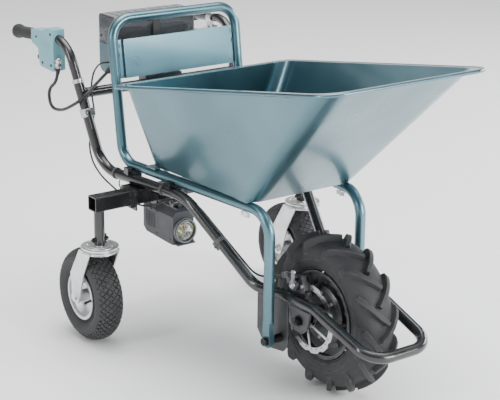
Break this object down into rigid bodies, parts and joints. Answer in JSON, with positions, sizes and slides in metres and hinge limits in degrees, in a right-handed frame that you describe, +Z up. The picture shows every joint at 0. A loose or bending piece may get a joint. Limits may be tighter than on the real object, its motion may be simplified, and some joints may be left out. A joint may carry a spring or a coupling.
{
  "type": "power wheelbarrow",
  "caption": "Motorised wheelbarrow: steel tub on a tube frame, driven front wheel with disc brake, swivel casters on an outrigger beam, battery box and height-adjustable handles.",
  "frame": {"origin": "on the ground, midway along and across the machine's overall box", "axes": "+X forward towards the driven wheel, +Y to the operator's left, +Z up"},
  "size_m": [1.3866, 0.7834, 0.8525],
  "materials": {
    "frame_black": "gloss black powder coat",
    "plate_grey": "satin dark grey paint",
    "tub_teal": "metallic teal enamel",
    "case_teal": "satin teal moulding",
    "smoke_clear": "smoked translucent moulding",
    "zinc": "bright zinc plate",
    "dark_bolts": "black oxide",
    "bright_steel": "ground steel",
    "hub_alloy": "dark anodised",
    "rim_grey": "satin grey paint",
    "tyre_rubber": "matte moulded rubber",
    "grip_rubber": "matte rubber",
    "black_plastic": "matte moulding",
    "lamp_grey": "fine grained moulding",
    "lamp_glass": "clear",
    "button_red": "gloss moulding",
    "gland_nickel": "nickel plate",
    "winding": "laminations and windings"
  },
  "bodies": {
    "frame": {"back_panel": "tub_teal", "battery_bracket": "frame_black", "battery_case": "case_teal", "battery_packs": "black_plastic", "beam_brackets": "frame_black", "brake_cable": "grip_rubber", "brake_caliper": "hub_alloy", "cable_bands": "plate_grey", "caster_plates": "zinc", "caster_stems": "frame_black", "control_cable": "grip_rubber", "frame_fasteners": "dark_bolts", "frame_plates": "plate_grey", "frame_rail_left": "frame_black", "frame_rail_right": "frame_black", "front_bumper": "frame_black", "handle_clamps": "frame_black", "handle_cross_tube": "frame_black", "lamp_bracket": "frame_black", "lamp_lead": "grip_rubber", "motor_stator": "winding", "outrigger_beam": "frame_black", "pipe_saddles": "frame_black", "tub": "tub_teal", "tub_bolts": "zinc", "tub_hoop": "tub_teal", "tub_straps": "tub_teal", "tub_tube_left": "tub_teal", "tub_tube_right": "tub_teal", "wheel_axle": "bright_steel"},
    "front_wheel": {"front_tyre": "tyre_rubber", "front_rim": "rim_grey", "hub_motor_shell": "hub_alloy", "brake_rotor": "bright_steel", "rotor_bolts": "dark_bolts"},
    "caster_swivel_right": {"caster_fork_right": "zinc", "caster_axle_right": "zinc"},
    "caster_swivel_left": {"caster_fork_left": "zinc", "caster_axle_left": "zinc"},
    "caster_wheel_right": {"caster_tyre_right": "tyre_rubber", "caster_rim_right": "zinc"},
    "caster_wheel_left": {"caster_tyre_left": "tyre_rubber", "caster_rim_left": "zinc"},
    "handle_right": {"handle_tube_right": "frame_black", "grip_right": "grip_rubber", "switch_box": "case_teal", "cable_gland": "gland_nickel"},
    "handle_left": {"handle_tube_left": "frame_black", "grip_left": "grip_rubber", "brake_perch": "hub_alloy"},
    "drive_lever": {"drive_lever": "black_plastic"},
    "power_button": {"power_button": "button_red"},
    "brake_lever": {"brake_lever": "hub_alloy"},
    "brake_arm": {"brake_arm": "hub_alloy"},
    "battery_lid": {"battery_lid": "smoke_clear"},
    "lid_latch": {"lid_latch": "black_plastic"},
    "height_lever_right": {"height_lever_right": "black_plastic"},
    "height_lever_left": {"height_lever_left": "black_plastic"},
    "lamp": {"lamp_body": "lamp_grey", "lamp_lens": "lamp_glass"}
  },
  "joints": [
    {"name": "front_wheel_spin", "type": "hinge", "parent": "frame", "child": "front_wheel", "pos_m": [0.42329, 0, 0.203], "axis": [0, 1, 0], "continuous": true},
    {"name": "caster_right_swivel", "type": "hinge", "parent": "frame", "child": "caster_swivel_right", "pos_m": [-0.13571, -0.3377, 0.2685], "axis": [0, 0, 1], "continuous": true},
    {"name": "caster_right_spin", "type": "hinge", "parent": "caster_swivel_right", "child": "caster_wheel_right", "pos_m": [-0.18971, -0.3377, 0.1275], "axis": [0, 1, 0], "continuous": true},
    {"name": "handle_right_slide", "type": "slide", "parent": "frame", "child": "handle_right", "axis": [-0.317, -0.1016, 0.943], "range_m": [0, 0.05]},
    {"name": "height_lever_right_turn", "type": "hinge", "parent": "frame", "child": "height_lever_right", "pos_m": [-0.31918, -0.2586, 0.58838], "axis": [-0.0324, 0.9948, 0.0963], "range_deg": [-100, 0]},
    {"name": "caster_left_swivel", "type": "hinge", "parent": "frame", "child": "caster_swivel_left", "pos_m": [-0.13571, 0.3377, 0.2685], "axis": [0, 0, 1], "continuous": true},
    {"name": "caster_left_spin", "type": "hinge", "parent": "caster_swivel_left", "child": "caster_wheel_left", "pos_m": [-0.18971, 0.3377, 0.1275], "axis": [0, 1, 0], "continuous": true},
    {"name": "handle_left_slide", "type": "slide", "parent": "frame", "child": "handle_left", "axis": [-0.317, 0.1016, 0.943], "range_m": [0, 0.05]},
    {"name": "height_lever_left_turn", "type": "hinge", "parent": "frame", "child": "height_lever_left", "pos_m": [-0.31918, 0.2586, 0.58838], "axis": [-0.0324, -0.9948, 0.0963], "range_deg": [0, 100]},
    {"name": "drive_lever_pull", "type": "hinge", "parent": "handle_right", "child": "drive_lever", "pos_m": [-0.50671, -0.26842, 0.708], "axis": [0, 1, 0], "range_deg": [0, 14], "stiffness_Nm_per_rad": 0.4, "springref_deg": -17.19},
    {"name": "power_button_push", "type": "slide", "parent": "handle_right", "child": "power_button", "axis": [0, -1, 0], "range_m": [0, 0.002], "stiffness_N_per_m": 300, "springref_m": -0.002},
    {"name": "brake_lever_pull", "type": "hinge", "parent": "handle_left", "child": "brake_lever", "pos_m": [-0.50271, 0.26842, 0.73529], "axis": [0, 1, 0], "range_deg": [0, 11], "stiffness_Nm_per_rad": 0.8, "springref_deg": -17.19},
    {"name": "brake_arm_turn", "type": "hinge", "parent": "frame", "child": "brake_arm", "pos_m": [0.39033, -0.105, 0.28459], "axis": [0, 1, 0], "range_deg": [-17, 0]},
    {"name": "battery_lid_turn", "type": "hinge", "parent": "frame", "child": "battery_lid", "pos_m": [-0.47721, 0, 0.745], "axis": [0, 1, 0], "range_deg": [-100, 0]},
    {"name": "lid_latch_turn", "type": "hinge", "parent": "battery_lid", "child": "lid_latch", "pos_m": [-0.37871, 0, 0.825], "axis": [0, 1, 0], "range_deg": [-70, 0]},
    {"name": "lamp_tilt", "type": "hinge", "parent": "frame", "child": "lamp", "pos_m": [-0.07171, -0.132, 0.38], "axis": [0, 1, 0], "range_deg": [-10, 0]}
  ],
  "couplings": [
    {"joint": "brake_arm_turn", "follows": "brake_lever_pull", "ratio": -1.5}
  ]
}
